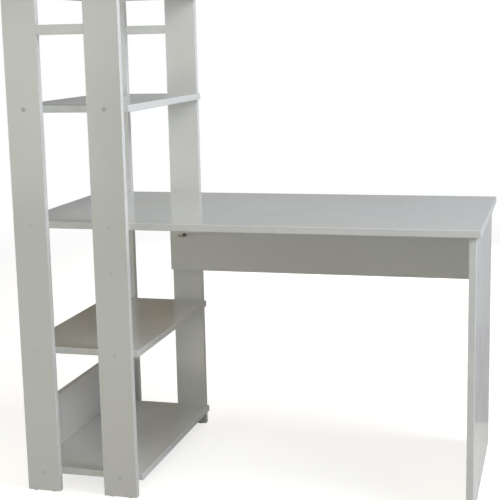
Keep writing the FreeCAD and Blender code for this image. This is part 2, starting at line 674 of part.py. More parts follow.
def build_boards():
    post("front_left_post", LEFT_POST, at_front=True, panel_hole=False)
    post("front_right_post", RIGHT_POST, at_front=True, panel_hole=True)
    post("rear_left_post", LEFT_POST, at_front=False, panel_hole=False)
    post("rear_right_post", RIGHT_POST, at_front=False, panel_hole=True)
    bottom_shelf()
    level_board("lower_shelf", "lower_level", SHELF_WIDTH).round_bands()
    worktop()
    level_board("upper_shelf", "upper_level", SHELF_WIDTH).round_bands()
    level_board("top_shelf", "top_level", SHELF_WIDTH).round_bands()
    high_rail("high_front_rail", POST_FRONT)
    high_rail("high_rear_rail", SHELF_BACK)
    bottom_side_board()
    right_leg_panel()
    modesty_panel()


def build_fasteners():
    screw, cap, dowel = connecting_screw(), cover_cap(), wooden_dowel()
    cam, bolt, cover = cam_lock(), cam_bolt(), cam_cover()
    board_names = ["bottom_shelf", "lower_shelf", "desktop", "upper_shelf", "top_shelf"]
    for board_name, level in zip(board_names, SCREWED_LEVELS):
        shelf_fasteners(board_name, level, screw, cap, dowel)
    rail_fasteners(dowel)
    side_board_fasteners(screw)
    panel_fasteners(screw, cap, dowel, cam, bolt, cover)
    leg_fasteners(dowel, cam, bolt, cover)
    glides(nail_glide())
    document.recompute()


def nodes():
    """The pieces to write: every body, and every group of equal pieces."""
    return [thing for thing in document.Objects if thing.TypeId in ("PartDesign::Body", "Part::Compound")]


def check():
    for thing in document.Objects:
        if "Invalid" in thing.State or "Error" in thing.State:
            raise RuntimeError("%s failed: %s" % (thing.Label, thing.State))
    for node in nodes():
        if node.Shape.isNull() or not node.Shape.isValid() or not node.Shape.Solids:
            raise RuntimeError("%s has no valid solid" % node.Label)


def write():
    os.makedirs("parts", exist_ok=True)
    for node in nodes():
        node.Shape.exportStep(os.path.join("parts", node.Label + ".step"))
        print("%-34s %2d solids %10.1f mm3" % (node.Label, len(node.Shape.Solids), node.Shape.Volume))


build_boards()
build_fasteners()
check()
write()
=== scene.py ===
"""A white study desk with an open shelving tower.

Procedural finishes for all its nodes, rounded bands and moulded pieces in place of some nodes,
and the studio with the photograph's camera.
"""
import math

import bmesh
import bpy
from mathutils import Euler, Matrix, Vector


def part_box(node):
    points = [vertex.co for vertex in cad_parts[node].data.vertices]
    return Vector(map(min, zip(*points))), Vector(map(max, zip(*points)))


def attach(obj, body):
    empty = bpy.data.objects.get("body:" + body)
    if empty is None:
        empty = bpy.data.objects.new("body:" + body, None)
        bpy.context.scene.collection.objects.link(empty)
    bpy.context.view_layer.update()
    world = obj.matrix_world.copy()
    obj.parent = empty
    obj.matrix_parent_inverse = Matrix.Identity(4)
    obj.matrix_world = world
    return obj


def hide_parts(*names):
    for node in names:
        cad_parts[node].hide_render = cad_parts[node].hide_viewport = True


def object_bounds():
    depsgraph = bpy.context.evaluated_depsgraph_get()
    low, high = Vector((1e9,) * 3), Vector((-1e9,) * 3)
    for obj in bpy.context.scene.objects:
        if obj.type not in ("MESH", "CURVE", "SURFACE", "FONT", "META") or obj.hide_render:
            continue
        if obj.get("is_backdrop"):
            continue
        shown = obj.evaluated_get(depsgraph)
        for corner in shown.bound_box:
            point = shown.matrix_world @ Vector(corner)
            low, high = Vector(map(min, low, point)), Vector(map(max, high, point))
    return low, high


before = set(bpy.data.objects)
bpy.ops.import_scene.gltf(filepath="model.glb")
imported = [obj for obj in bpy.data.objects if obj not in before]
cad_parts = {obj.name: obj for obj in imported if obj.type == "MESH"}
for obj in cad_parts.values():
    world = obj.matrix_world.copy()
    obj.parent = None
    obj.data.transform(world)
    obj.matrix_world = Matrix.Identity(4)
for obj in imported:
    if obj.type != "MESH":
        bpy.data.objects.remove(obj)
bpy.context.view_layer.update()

MM = 0.001

# The boards, with the axis across each board's thickness: 0 is X, 1 is Y and 2 is Z.
POSTS = {"front_left_post": 1, "front_right_post": 1, "rear_left_post": 1, "rear_right_post": 1}
SHELVES = {"bottom_shelf": 2, "lower_shelf": 2, "desktop": 2, "upper_shelf": 2, "top_shelf": 2}
PANELS = {"bottom_side_board": 0, "modesty_panel": 1, "right_leg_panel": 0}
RAILS = {"high_front_rail": 1, "high_rear_rail": 1}
BOARDS = {**POSTS, **SHELVES, **PANELS, **RAILS}
BARE_FEET = list(POSTS) + ["right_leg_panel"]

# Sizes of the bands and of the small moulded pieces
BAND = 2 * MM
BAND_ROUND = 1.5 * MM
CAP_RADIUS, CAP_HEIGHT = 6 * MM, 0.8 * MM
CAP_STEM_RADIUS, CAP_STEM_DEPTH = 2.2 * MM, 3.4 * MM
COVER_RADIUS, COVER_HEIGHT = 8.5 * MM, 1 * MM
COVER_STEM_RADIUS, COVER_STEM_DEPTH = 0.7 * MM, 2.4 * MM
PAD_RADIUS, PAD_HEIGHT = 8.5 * MM, 2 * MM
PAD_RIM_ROUND = 0.7 * MM
PAD_RECESS = 0.4 * MM
NAIL_RADIUS, NAIL_LENGTH, NAIL_POINT = 1 * MM, 13 * MM, 2 * MM

# Places of the fittings on their boards
POST_WIDTH = 93 * MM
FITTING_STEP = 60 * MM
CAM_REACH = 34 * MM
GLIDE_INSET = 20 * MM

# The mark where a screw's point has broken through the modesty panel: a chipped hole darkened
# further with painted shade, and beside it a painted shadow of the screw's point
PAINTED_SHADOW_OFFSET = Vector((-8, 0, -4)) * MM
PAINTED_SHADOW_HALF_WIDTH, PAINTED_SHADOW_HALF_HEIGHT = 19 * MM, 6.5 * MM
HOLE_AND_SHADE_HALF_WIDTH, HOLE_AND_SHADE_HALF_HEIGHT = 8 * MM, 6 * MM

# Modelling values
CLOSE = 0.01 * MM
DOUBLES = 0.001 * MM
FACING = 0.9
SQUARE_ON = 0.999
RIM_SHARE = 0.99
ROUND_SIDES = 48
BAND_ANGLE, MOULD_ANGLE = 40, 35
FOOT_SPARE = 40 * MM
# Half of a disc's height is a straight rim. The rest is a dome in steps: the share of the radius
# that each goes in, and the share of the dome's rise that it goes up.
DOME = 0.5
DOME_STEPS = ((0.14, 0.5), (0.18, 0.28), (0.24, 0.16), (0.24, 0.06))
# Shares of a radius or of a length
DISC_UNDER_RIM, DISC_RIM_ROUND = 0.12, 0.4
STEM_STRAIGHT, STEM_TIP = 0.8, 0.7
PAD_RING, PAD_RECESS_EDGE = 0.55, 0.08
NAIL_COLLAR, NAIL_TIP = 1.3, 0.2

# Colours
MELAMINE_WHITE = (0.640, 0.648, 0.640)
MELAMINE_CREAM = (0.628, 0.630, 0.608)
MELAMINE_DUST = (0.545, 0.535, 0.513)
BAND_WHITE = (0.668, 0.677, 0.672)
BAND_GREY = (0.628, 0.637, 0.637)
CHIP_PALE = (0.560, 0.400, 0.235)
CHIP_DARK = (0.230, 0.140, 0.070)
# Grey of the painted shadow that the screw's point casts on the panel
PAINTED_SHADOW_GREY = (0.250, 0.245, 0.200)
# Dark of the chipped hole round the screw's point, darkened further as painted shade
BREAKOUT_AND_SHADE_DARK = (0.140, 0.135, 0.107)
CAP_WHITE, CAP_SHADE = (0.572, 0.578, 0.572), (0.520, 0.525, 0.520)
CAP_DULL, CAP_DULL_SHADE = (0.470, 0.470, 0.455), (0.410, 0.408, 0.392)
COVER_WHITE, COVER_SHADE = (0.640, 0.645, 0.640), (0.580, 0.585, 0.580)
BEECH_DARK, BEECH_PALE = (0.56, 0.36, 0.19), (0.70, 0.50, 0.30)
BEECH_FLECK = (0.36, 0.20, 0.10)
STEEL_BRIGHT, STEEL_STAINED = (0.60, 0.61, 0.62), (0.48, 0.47, 0.43)
# Steel of the screw through the modesty panel, darkened as painted shade under the desktop
SCREW_SHADE_PALE, SCREW_SHADE_DARK = (0.190, 0.185, 0.165), (0.110, 0.105, 0.090)
ZINC_PALE, ZINC_DARK, ZINC_PIT = (0.46, 0.46, 0.47), (0.34, 0.34, 0.35), (0.16, 0.16, 0.17)
PAD_BLACK, PAD_WORN = (0.045, 0.045, 0.048), (0.10, 0.10, 0.10)
NAIL_BRIGHT = (0.55, 0.55, 0.54)

# Depth of the faces' paper and width of the glue line beside them
FACE_PAPER = 0.35 * MM
GLUE_LINE = 0.25 * MM
# Refractive index, then roughness
BOARD_IOR, MOULD_IOR = 1.5, 1.47
FACE_ROUGH, CHIP_ROUGH, BAND_ROUGH = 0.15, 0.85, 0.24
CAP_ROUGH, DULL_CAP_ROUGH, COVER_ROUGH, PAD_ROUGH = 0.5, 0.55, 0.45, 0.55
BEECH_ROUGH, STEEL_ROUGH, ZINC_ROUGH = 0.62, 0.30, 0.44
# Scales of the patterns: features to the metre
CLOUDS, SMUDGES, SPECKS, WIPING = 2.3, 9, 420, 14
CHIPS, PEEL, WAVES, RAGGED = 520, 950, 28, 320
BAND_LINES, BAND_MARKS = 30, 35
CAP_GRAIN, COVER_GRAIN, PAD_GRAIN, MOULD_MARKS, PAD_WEAR = 900, 800, 1100, 130, 300
BEECH_GRAIN, BEECH_FLECKS = 900, 2600
STEEL_STAINS, STEEL_MARKS = 160, 1500
ZINC_SKIN, ZINC_PITS = 700, 1400
# How far each board's pattern, and its bands', is shifted from the last board's
BOARD_SHIFT = (3.1, 1.7, 2.3)
BAND_SHIFT = (2.9, 4.1, 1.3)


# Shader maths

class Wire:
    """A socket in a finish's node tree. Sums on it add Math nodes."""

    def __init__(self, finish, socket):
        self.finish = finish
        self.socket = socket

    def maths(self, operation, *values):
        return self.finish.node("ShaderNodeMath", {"operation": operation}, dict(enumerate(values)))

    def __add__(self, other):
        return self.maths("ADD", self, other)

    def __sub__(self, other):
        return self.maths("SUBTRACT", self, other)

    def __mul__(self, other):
        return self.maths("MULTIPLY", self, other)

    def __rsub__(self, other):
        return self.maths("SUBTRACT", other, self)

    def __abs__(self):
        return self.maths("ABSOLUTE", self)

    __radd__ = __add__
    __rmul__ = __mul__

    def swing(self, amount):
        """A pattern's swing to both sides of zero, for one that goes from 0 to 1."""
        return (self - 0.5) * amount


class Finish:
    """A material, or the world, while its nodes are put together."""

    def __init__(self, owner):
        owner.use_nodes = True
        self.owner = owner
        self.tree = owner.node_tree
        self.tree.nodes.clear()

    def node(self, kind, settings=None, inputs=None, output=0):
        """Adds a node with its settings, then fills its sockets with values or wires."""
        made = self.tree.nodes.new(kind)
        for name, value in (settings or {}).items():
            setattr(made, name, value)
        for key, value in (inputs or {}).items():
            if isinstance(value, Wire):
                self.tree.links.new(value.socket, made.inputs[key])
            else:
                made.inputs[key].default_value = value
        return Wire(self, made.outputs[output]) if len(made.outputs) else None

    def place(self, stretch=(1, 1, 1), shift=(0, 0, 0)):
        """Object coordinates, stretched and shifted for a pattern."""
        where = self.node("ShaderNodeTexCoord", output="Object")
        settings = {"Vector": where, "Scale": stretch, "Location": shift}
        return self.node("ShaderNodeMapping", {}, settings)

    def along(self, axis):
        """The object coordinate along one axis, in metres."""
        where = self.node("ShaderNodeTexCoord", output="Object")
        return self.node("ShaderNodeSeparateXYZ", {}, {0: where}, output=axis)

    def length(self, vector):
        settings = {"operation": "LENGTH"}
        return self.node("ShaderNodeVectorMath", settings, {0: vector}, output="Value")

    def noise(self, place, scale, detail=2, roughness=0.5):
        inputs = {"Vector": place, "Scale": scale, "Detail": detail, "Roughness": roughness}
        return self.node("ShaderNodeTexNoise", {}, inputs)

    def step(self, value, low, high, from_value=0, to_value=1):
        """A smooth change from one value to another while value goes from low to high."""
        settings = {"interpolation_type": "SMOOTHSTEP"}
        return self.node("ShaderNodeMapRange", settings,
                         {"Value": value, "From Min": low, "From Max": high,
                          "To Min": from_value, "To Max": to_value})

    def tint(self, mask, low, high):
        """A colour between two others, by a mask."""
        low = low if isinstance(low, Wire) else (*low, 1)
        high = high if isinstance(high, Wire) else (*high, 1)
        inputs = {0: mask, 6: low, 7: high}
        return self.node("ShaderNodeMix", {"data_type": "RGBA"}, inputs, output=2)

    def bump(self, height, strength, distance, under=None):
        inputs = {"Height": height, "Strength": strength, "Distance": distance}
        if under:
            inputs["Normal"] = under
        return self.node("ShaderNodeBump", {}, inputs)

    def surface(self, **inputs):
        """The Principled shader as the material's surface. Names are given with _ for a space."""
        named = {name.replace("_", " "): value for name, value in inputs.items()}
        shader = self.node("ShaderNodeBsdfPrincipled", {}, named)
        self.node("ShaderNodeOutputMaterial", {}, {"Surface": shader})
        return self.owner


def new_finish(name):
    return Finish(bpy.data.materials.new(name))


# Finishes

def ragged_patch(finish, centre, half_width, half_height, shift):
    """A mask for a ragged patch on a board's face, dark in the middle and faint at its rim."""
    stretch = (1 / half_width, 1 / half_width, 1 / half_height)
    off_centre = finish.place(stretch, [-part * scale for part, scale in zip(centre, stretch)])
    away = finish.length(off_centre)
    ragged = finish.noise(finish.place(shift=shift), RAGGED, detail=3, roughness=0.6)
    return finish.step(away + ragged.swing(0.6), 0.45, 1.15, 1, 0)


def melamine_board(board, axis, number, breakout=None):
    """White melamine faces on chipboard. The chipboard shows on bare ends and in drilled holes."""
    finish = new_finish("melamine_" + board)
    low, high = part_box(board)
    shift = [number * part for part in BOARD_SHIFT]
    plain = finish.place(shift=shift)
    clouds = finish.noise(plain, CLOUDS, detail=3)
    smudges = finish.noise(plain, SMUDGES, detail=4, roughness=0.6)
    specks = finish.noise(plain, SPECKS, detail=1)

    white = finish.tint(finish.step(clouds, 0.35, 0.65), MELAMINE_WHITE, MELAMINE_CREAM)
    dust = finish.step(smudges, 0.58, 0.78) * finish.step(specks, 0.45, 0.7) * 0.22
    white = finish.tint(dust, white, MELAMINE_DUST)

    # A dark hairline of glue where the face meets its edge bands
    for side in range(3):
        if side == axis:
            continue
        middle = (low[side] + high[side]) / 2
        half = (high[side] - low[side]) / 2
        from_middle = abs(finish.along(side) - middle)
        line = finish.step(from_middle, half - GLUE_LINE, half - GLUE_LINE / 4, 0, 0.35)
        white = finish.tint(line, white, MELAMINE_DUST)

    chips = finish.noise(finish.place((1, 1, 0.5), shift), CHIPS, detail=3, roughness=0.7)
    chip = finish.tint(finish.step(chips, 0.35, 0.65), CHIP_DARK, CHIP_PALE)
    middle = (low[axis] + high[axis]) / 2
    half = (high[axis] - low[axis]) / 2
    from_middle = abs(finish.along(axis) - middle)
    on_face = finish.step(from_middle, half - FACE_PAPER, half - FACE_PAPER / 2)
    if breakout:
        # Where a screw's point has broken through: a dark hole, partly chipped melamine and partly
        # painted shade, and beside it a fainter painted shadow of the screw's point
        painted_shadow = ragged_patch(finish, breakout + PAINTED_SHADOW_OFFSET, PAINTED_SHADOW_HALF_WIDTH,
                             PAINTED_SHADOW_HALF_HEIGHT, shift)
        hole_and_shade = ragged_patch(finish, breakout, HOLE_AND_SHADE_HALF_WIDTH, HOLE_AND_SHADE_HALF_HEIGHT, shift)
        chip = finish.tint(painted_shadow, chip, PAINTED_SHADOW_GREY)
        chip = finish.tint(hole_and_shade, chip, BREAKOUT_AND_SHADE_DARK)
        on_face = on_face * (1 - painted_shadow * 0.8) * (1 - hole_and_shade)
    colour = finish.tint(on_face, chip, white)

    streaks = [1.0, 1.0, 1.0]
    streaks[(axis + 1) % 3] = 9.0
    wiping = finish.noise(finish.place(streaks, shift), WIPING, detail=3, roughness=0.55)
    sheen = FACE_ROUGH + smudges.swing(0.09) + wiping.swing(0.05)
    roughness = sheen * on_face + (1 - on_face) * CHIP_ROUGH

    peel = finish.noise(plain, PEEL, detail=2)
    chip_relief = (1 - on_face) * chips
    relief = finish.bump(peel * on_face * 0.06 + chip_relief, 0.35, 0.25 * MM)
    wave = finish.bump(finish.noise(plain, WAVES, detail=1), 0.05, 1 * MM, relief)
    return finish.surface(Base_Color=colour, Roughness=roughness, Normal=wave, IOR=BOARD_IOR)


def edge_band(board, axis, number):
    """Smooth white band, with faint lines along its length from the trimming cutter."""
    finish = new_finish("edge_band_" + board)
    shift = [number * part for part in BAND_SHIFT]
    across = [1.0, 1.0, 1.0]
    across[axis] = 60.0
    lines = finish.noise(finish.place(across, shift), BAND_LINES, detail=2)
    marks = finish.noise(finish.place(shift=shift), BAND_MARKS, detail=4, roughness=0.65)
    colour = finish.tint(finish.step(marks, 0.3, 0.75), BAND_WHITE, BAND_GREY)
    colour = finish.tint(finish.step(lines, 0.55, 0.8) * 0.3, colour, MELAMINE_DUST)
    roughness = BAND_ROUGH + marks.swing(0.18)
    relief = finish.bump(lines * 0.5 + marks * 0.5, 0.08, 0.1 * MM)
    return finish.surface(Base_Color=colour, Roughness=roughness, Normal=relief, IOR=BOARD_IOR)


def moulded_plastic(name, pale, dark, roughness, grain):
    """Moulded plastic with a fine eroded texture."""
    finish = new_finish(name)
    plain = finish.place()
    fine = finish.noise(plain, grain, detail=3, roughness=0.6)
    marks = finish.noise(plain, MOULD_MARKS, detail=3)
    colour = finish.tint(finish.step(marks, 0.35, 0.7), pale, dark)
    relief = finish.bump(fine, 0.2, 0.08 * MM)
    return finish.surface(Base_Color=colour, Roughness=roughness + fine.swing(0.2), Normal=relief,
                          IOR=MOULD_IOR)


def beech(name, along):
    """Bare beech turned to a dowel, its grain along one axis."""
    finish = new_finish(name)
    stretch = [1.0, 1.0, 1.0]
    stretch[along] = 0.08
    grain = finish.noise(finish.place(stretch), BEECH_GRAIN, detail=4, roughness=0.65)
    flecks = finish.noise(finish.place(stretch, (3, 5, 7)), BEECH_FLECKS, detail=1)
    colour = finish.tint(finish.step(grain, 0.3, 0.7), BEECH_DARK, BEECH_PALE)
    colour = finish.tint(finish.step(flecks, 0.62, 0.72) * 0.5, colour, BEECH_FLECK)
    roughness = BEECH_ROUGH + grain.swing(0.2)
    relief = finish.bump(grain, 0.4, 0.15 * MM)
    return finish.surface(Base_Color=colour, Roughness=roughness, Normal=relief)


def plated_steel(name, bright, stained):
    """Plated steel, a little stained, with fine marks from tumbling."""
    finish = new_finish(name)
    plain = finish.place()
    stain = finish.noise(plain, STEEL_STAINS, detail=4, roughness=0.6)
    marks = finish.noise(plain, STEEL_MARKS, detail=2)
    colour = finish.tint(finish.step(stain, 0.4, 0.7), bright, stained)
    roughness = STEEL_ROUGH + stain.swing(0.2) + marks.swing(0.15)
    relief = finish.bump(marks, 0.25, 0.05 * MM)
    return finish.surface(Base_Color=colour, Metallic=1.0, Roughness=roughness, Normal=relief)


def cast_zinc(name):
    """Grey die-cast zinc with a slightly pitted skin."""
    finish = new_finish(name)
    plain = finish.place()
    skin = finish.noise(plain, ZINC_SKIN, detail=4, roughness=0.7)
    pits = finish.step(finish.noise(plain, ZINC_PITS, detail=1), 0.62, 0.74)
    colour = finish.tint(finish.step(skin, 0.35, 0.7), ZINC_PALE, ZINC_DARK)
    colour = finish.tint(pits * 0.6, colour, ZINC_PIT)
    relief = finish.bump(skin - pits * 0.5, 0.35, 0.12 * MM)
    return finish.surface(Base_Color=colour, Metallic=0.9, Roughness=ZINC_ROUGH + skin.swing(0.25),
                          Normal=relief)


def glide_finish():
    """Dark moulded pad below and a bright nail above it, parted by height."""
    finish = new_finish("glide_pad_and_nail")
    plain = finish.place()
    fine = finish.noise(plain, PAD_GRAIN, detail=3, roughness=0.6)
    wear = finish.noise(plain, PAD_WEAR, detail=4, roughness=0.7)
    nail = finish.step(finish.along(2), PAD_HEIGHT, PAD_HEIGHT + 0.2 * MM)
    pad = finish.tint(finish.step(wear, 0.45, 0.7), PAD_BLACK, PAD_WORN)
    colour = finish.tint(nail, pad, NAIL_BRIGHT)
    roughness = PAD_ROUGH + fine.swing(0.2) - nail * 0.2
    relief = finish.bump(fine, 0.25, 0.08 * MM)
    return finish.surface(Base_Color=colour, Metallic=nail, Roughness=roughness, Normal=relief)


def dress(node, material):
    """Gives a CAD node that stays a better material in all its slots."""
    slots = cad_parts[node].data.materials
    for number in range(len(slots)):
        slots[number] = material


# Modelling

def select_only(piece):
    bpy.ops.object.select_all(action="DESELECT")
    piece.select_set(True)
    bpy.context.view_layer.objects.active = piece


def apply_place():
    bpy.ops.object.transform_apply(location=True, rotation=True, scale=True)


def start_editing(piece):
    select_only(piece)
    bpy.ops.object.mode_set(mode="EDIT")


def stop_editing():
    bpy.ops.object.mode_set(mode="OBJECT")


def pick_faces(piece, wanted):
    """Selects just the faces for which wanted(centre, normal) is true."""
    bpy.ops.mesh.select_mode(type="FACE")
    bpy.ops.mesh.select_all(action="DESELECT")
    shape = bmesh.from_edit_mesh(piece.data)
    for face in shape.faces:
        if wanted(face.calc_center_median(), face.normal):
            face.select_set(True)
    bmesh.update_edit_mesh(piece.data)


def pick_top(piece):
    pick_faces(piece, lambda centre, normal: normal.z > FACING)


def pick_underside(piece):
    pick_faces(piece, lambda centre, normal: normal.z < -FACING)


def pick_rim(piece, level, radius):
    """Selects just the edges of a round rim at a level."""
    bpy.ops.mesh.select_mode(type="EDGE")
    bpy.ops.mesh.select_all(action="DESELECT")
    shape = bmesh.from_edit_mesh(piece.data)
    for edge in shape.edges:
        ends = [end.co for end in edge.verts]
        if all(abs(end.z - level) < CLOSE and end.xy.length > radius * RIM_SHARE for end in ends):
            edge.select_set(True)
    bmesh.update_edit_mesh(piece.data)


def inset(thickness, depth=0):
    bpy.ops.mesh.inset(thickness=thickness, depth=depth)


def extrude_upright(height):
    bpy.ops.mesh.extrude_region_move(TRANSFORM_OT_translate={"value": (0, 0, height)})


def taper(share):
    """Draws the selected end in towards its middle."""
    bpy.ops.transform.resize(value=(share, share, 1))


def round_off(offset, segments):
    bpy.ops.mesh.bevel(offset=offset, segments=segments, profile=0.5, affect="EDGES")


def smooth(piece, angle):
    """Smooth shading over roundings, with the flat faces kept flat."""
    select_only(piece)
    bpy.ops.object.shade_smooth_by_angle(angle=math.radians(angle))
    weighted = piece.modifiers.new("flat_faces", "WEIGHTED_NORMAL")
    weighted.keep_sharp = True
    bpy.ops.object.modifier_apply(modifier=weighted.name)


def settle(piece, name, material, node):
    """Names a finished piece, gives it its material, and puts it in the place of its CAD node."""
    piece.name = name
    piece.data.name = name
    piece.data.materials.clear()
    piece.data.materials.append(material)
    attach(piece, "root")
    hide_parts(node)


def band_ring(board, axis):
    """The edge bands round one board, with rounded arrises. A bare foot leaves the ring open."""
    low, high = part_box(board + "_edge_bands")
    foot = low[2]
    open_below = board in BARE_FEET
    below = FOOT_SPARE if open_below else 0
    size = [high[side] - low[side] for side in range(3)]
    centre = [(high[side] + low[side]) / 2 for side in range(3)]
    size[2] += below
    centre[2] -= below / 2
    bpy.ops.mesh.primitive_cube_add(size=1, location=centre)
    ring = bpy.context.object
    ring.scale = size
    apply_place()

    start_editing(ring)
    bpy.ops.mesh.select_all(action="SELECT")
    round_off(BAND_ROUND, 4)
    half = (high[axis] - low[axis]) / 2
    middle = (high[axis] + low[axis]) / 2

    def on_face(centre, normal):
        outermost = abs(abs(centre[axis] - middle) - half) < CLOSE
        return outermost and abs(normal[axis]) > SQUARE_ON

    pick_faces(ring, on_face)
    inset(BAND - BAND_ROUND)
    bpy.ops.mesh.delete(type="FACE")
    bpy.ops.mesh.select_mode(type="EDGE")
    bpy.ops.mesh.select_non_manifold(extend=False)
    bpy.ops.mesh.bridge_edge_loops()
    if open_below:
        bpy.ops.mesh.select_all(action="SELECT")
        bpy.ops.mesh.bisect(plane_co=(0, 0, foot), plane_no=(0, 0, 1), use_fill=True,
                            clear_inner=True)
    bpy.ops.mesh.select_all(action="SELECT")
    bpy.ops.mesh.remove_doubles(threshold=DOUBLES)
    bpy.ops.mesh.normals_make_consistent(inside=False)
    stop_editing()
    smooth(ring, BAND_ANGLE)
    return ring


def round_blank(radius, depth):
    """A cylinder that stands on z = 0, open for editing: the start of a turned or moulded piece."""
    bpy.ops.mesh.primitive_cylinder_add(vertices=ROUND_SIDES, radius=radius, depth=depth,
                                        location=(0, 0, depth / 2))
    blank = bpy.context.object
    apply_place()
    start_editing(blank)
    return blank


def moulded_disc(radius, height, stem_radius, stem_depth):
    """A domed disc on z = 0 with its stem below: the first of the caps and of the cam covers."""
    rim = height * (1 - DOME)
    disc = round_blank(radius, rim)
    pick_top(disc)
    for share_in, share_up in DOME_STEPS:
        inset(radius * share_in)
        bpy.ops.transform.translate(value=(0, 0, (height - rim) * share_up))
    pick_underside(disc)
    inset(radius * DISC_UNDER_RIM)
    inset(radius * (1 - DISC_UNDER_RIM) - stem_radius)
    extrude_upright(-stem_depth * STEM_STRAIGHT)
    extrude_upright(-stem_depth * (1 - STEM_STRAIGHT))
    taper(STEM_TIP)
    pick_rim(disc, rim, radius)
    round_off(rim * DISC_RIM_ROUND, 3)
    stop_editing()
    return disc


def nail_glide():
    """A pad with a turned rim and a nail in its middle, standing on z = 0."""
    glide = round_blank(PAD_RADIUS, PAD_HEIGHT)
    pick_underside(glide)
    inset(PAD_RADIUS * PAD_RING)
    inset(PAD_RADIUS * PAD_RECESS_EDGE, -PAD_RECESS)
    pick_top(glide)
    inset(PAD_RADIUS - NAIL_RADIUS * NAIL_COLLAR)
    inset(NAIL_RADIUS * (NAIL_COLLAR - 1))
    extrude_upright(NAIL_LENGTH - NAIL_POINT)
    extrude_upright(NAIL_POINT)
    taper(NAIL_TIP)
    pick_rim(glide, 0, PAD_RADIUS)
    round_off(PAD_RIM_ROUND, 4)
    stop_editing()
    return glide


def copies_joined(first, places):
    """One object made of a copy of the first piece at each place, turned as told."""
    copies = []
    for place, turn in places:
        copy = first.copy()
        copy.data = first.data.copy()
        bpy.context.collection.objects.link(copy)
        copy.matrix_world = Matrix.Translation(place) @ turn.to_matrix().to_4x4()
        copies.append(copy)
    bpy.ops.object.select_all(action="DESELECT")
    for copy in copies:
        copy.select_set(True)
    bpy.context.view_layer.objects.active = copies[0]
    if len(copies) > 1:
        bpy.ops.object.join()
    joined = bpy.context.view_layer.objects.active
    apply_place()
    smooth(joined, MOULD_ANGLE)
    return joined


def middle_of(node):
    low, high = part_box(node)
    return (low + high) / 2


# Turns that take a piece's own +Z out of the front, the back and the left side
OUT_FRONT = Euler((math.radians(90), 0, 0))
OUT_BACK = Euler((math.radians(-90), 0, 0))
OUT_LEFT = Euler((0, math.radians(-90), 0))
UPRIGHT = Euler((0, 0, 0))

# Boards and their bands. The rails' bands stay the CAD's own.
screw_point = middle_of("modesty_post_screw")
screw_point.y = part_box("modesty_panel")[0].y
breakouts = {"modesty_panel": screw_point}
for number, (board, axis) in enumerate(BOARDS.items()):
    dress(board, melamine_board(board, axis, number, breakouts.get(board)))
    bands = edge_band(board, axis, number)
    if board in RAILS:
        dress(board + "_edge_bands", bands)
    else:
        settle(band_ring(board, axis), board + "_rounded_bands", bands,
               board + "_edge_bands")

# Screw cover caps on the posts
post_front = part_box("front_left_post_edge_bands")[0].y
post_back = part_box("rear_left_post_edge_bands")[1].y
left_line = middle_of("front_left_post_edge_bands").x
right_line = middle_of("front_right_post_edge_bands").x
panel_level = middle_of("modesty_panel_edge_bands").z


def cap_places(lines, level):
    """Places on the front and back posts' outer faces, on these lines and at this level."""
    return ([(Vector((line, post_front, level)), OUT_FRONT) for line in lines]
            + [(Vector((line, post_back, level)), OUT_BACK) for line in lines])


cap_plastic = moulded_plastic("screw_cap_plastic", CAP_WHITE, CAP_SHADE, CAP_ROUGH, CAP_GRAIN)
dull_plastic = moulded_plastic("screw_cap_plastic_dulled", CAP_DULL, CAP_DULL_SHADE,
                               DULL_CAP_ROUGH, CAP_GRAIN)
cap = moulded_disc(CAP_RADIUS, CAP_HEIGHT, CAP_STEM_RADIUS, CAP_STEM_DEPTH)
for shelf in SHELVES:
    plastic = dull_plastic if shelf == "upper_shelf" else cap_plastic
    settle(copies_joined(cap, cap_places((left_line, right_line), middle_of(shelf).z)),
           shelf + "_moulded_caps", plastic, shelf + "_screw_caps")
settle(copies_joined(cap, cap_places((right_line,), panel_level)),
       "panel_hole_moulded_caps", cap_plastic, "panel_hole_caps")
bpy.data.objects.remove(cap)

# Small cam covers behind the modesty panel and inside the leg
panel_low, panel_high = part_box("modesty_panel_edge_bands")
leg_low, leg_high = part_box("right_leg_panel_edge_bands")
panel_length = panel_high.x - panel_low.x
panel_height = panel_high.z - panel_low.z
leg_length = leg_high.y - leg_low.y
cover_plastic = moulded_plastic("cam_cover_plastic", COVER_WHITE, COVER_SHADE, COVER_ROUGH,
                                COVER_GRAIN)
cover = moulded_disc(COVER_RADIUS, COVER_HEIGHT, COVER_STEM_RADIUS, COVER_STEM_DEPTH)
along_top = [POST_WIDTH + FITTING_STEP, panel_length / 2, panel_length - 2 * FITTING_STEP]
places = [(Vector((panel_low.x + along, panel_high.y, panel_high.z - CAM_REACH)), OUT_BACK)
          for along in along_top]
places += [(Vector((panel_high.x - CAM_REACH, panel_high.y, panel_low.z + panel_height * share)),
            OUT_BACK) for share in (1 / 5, 2 / 3)]
settle(copies_joined(cover, places), "modesty_moulded_covers", cover_plastic,
       "modesty_cam_covers")
places = [(Vector((leg_low.x, leg_low.y + along, leg_high.z - CAM_REACH)), OUT_LEFT)
          for along in (FITTING_STEP, leg_length - 2 * FITTING_STEP)]
settle(copies_joined(cover, places), "leg_moulded_covers", cover_plastic,
       "leg_cam_covers")
bpy.data.objects.remove(cover)

# Glides under the posts and the leg
glide = nail_glide()
glide_material = glide_finish()
for post in POSTS:
    low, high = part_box(post + "_edge_bands")
    line = (low.y + high.y) / 2
    places = [(Vector((x, line, 0)), UPRIGHT)
              for x in (low.x + GLIDE_INSET, high.x - GLIDE_INSET)]
    settle(copies_joined(glide, places), post + "_moulded_glides", glide_material,
           post + "_glides")
line = (leg_low.x + leg_high.x) / 2
places = [(Vector((line, y, 0)), UPRIGHT)
          for y in (leg_low.y + 2 * GLIDE_INSET, leg_high.y - 2 * GLIDE_INSET)]
settle(copies_joined(glide, places), "leg_moulded_glides", glide_material,
       "leg_glides")
bpy.data.objects.remove(glide)

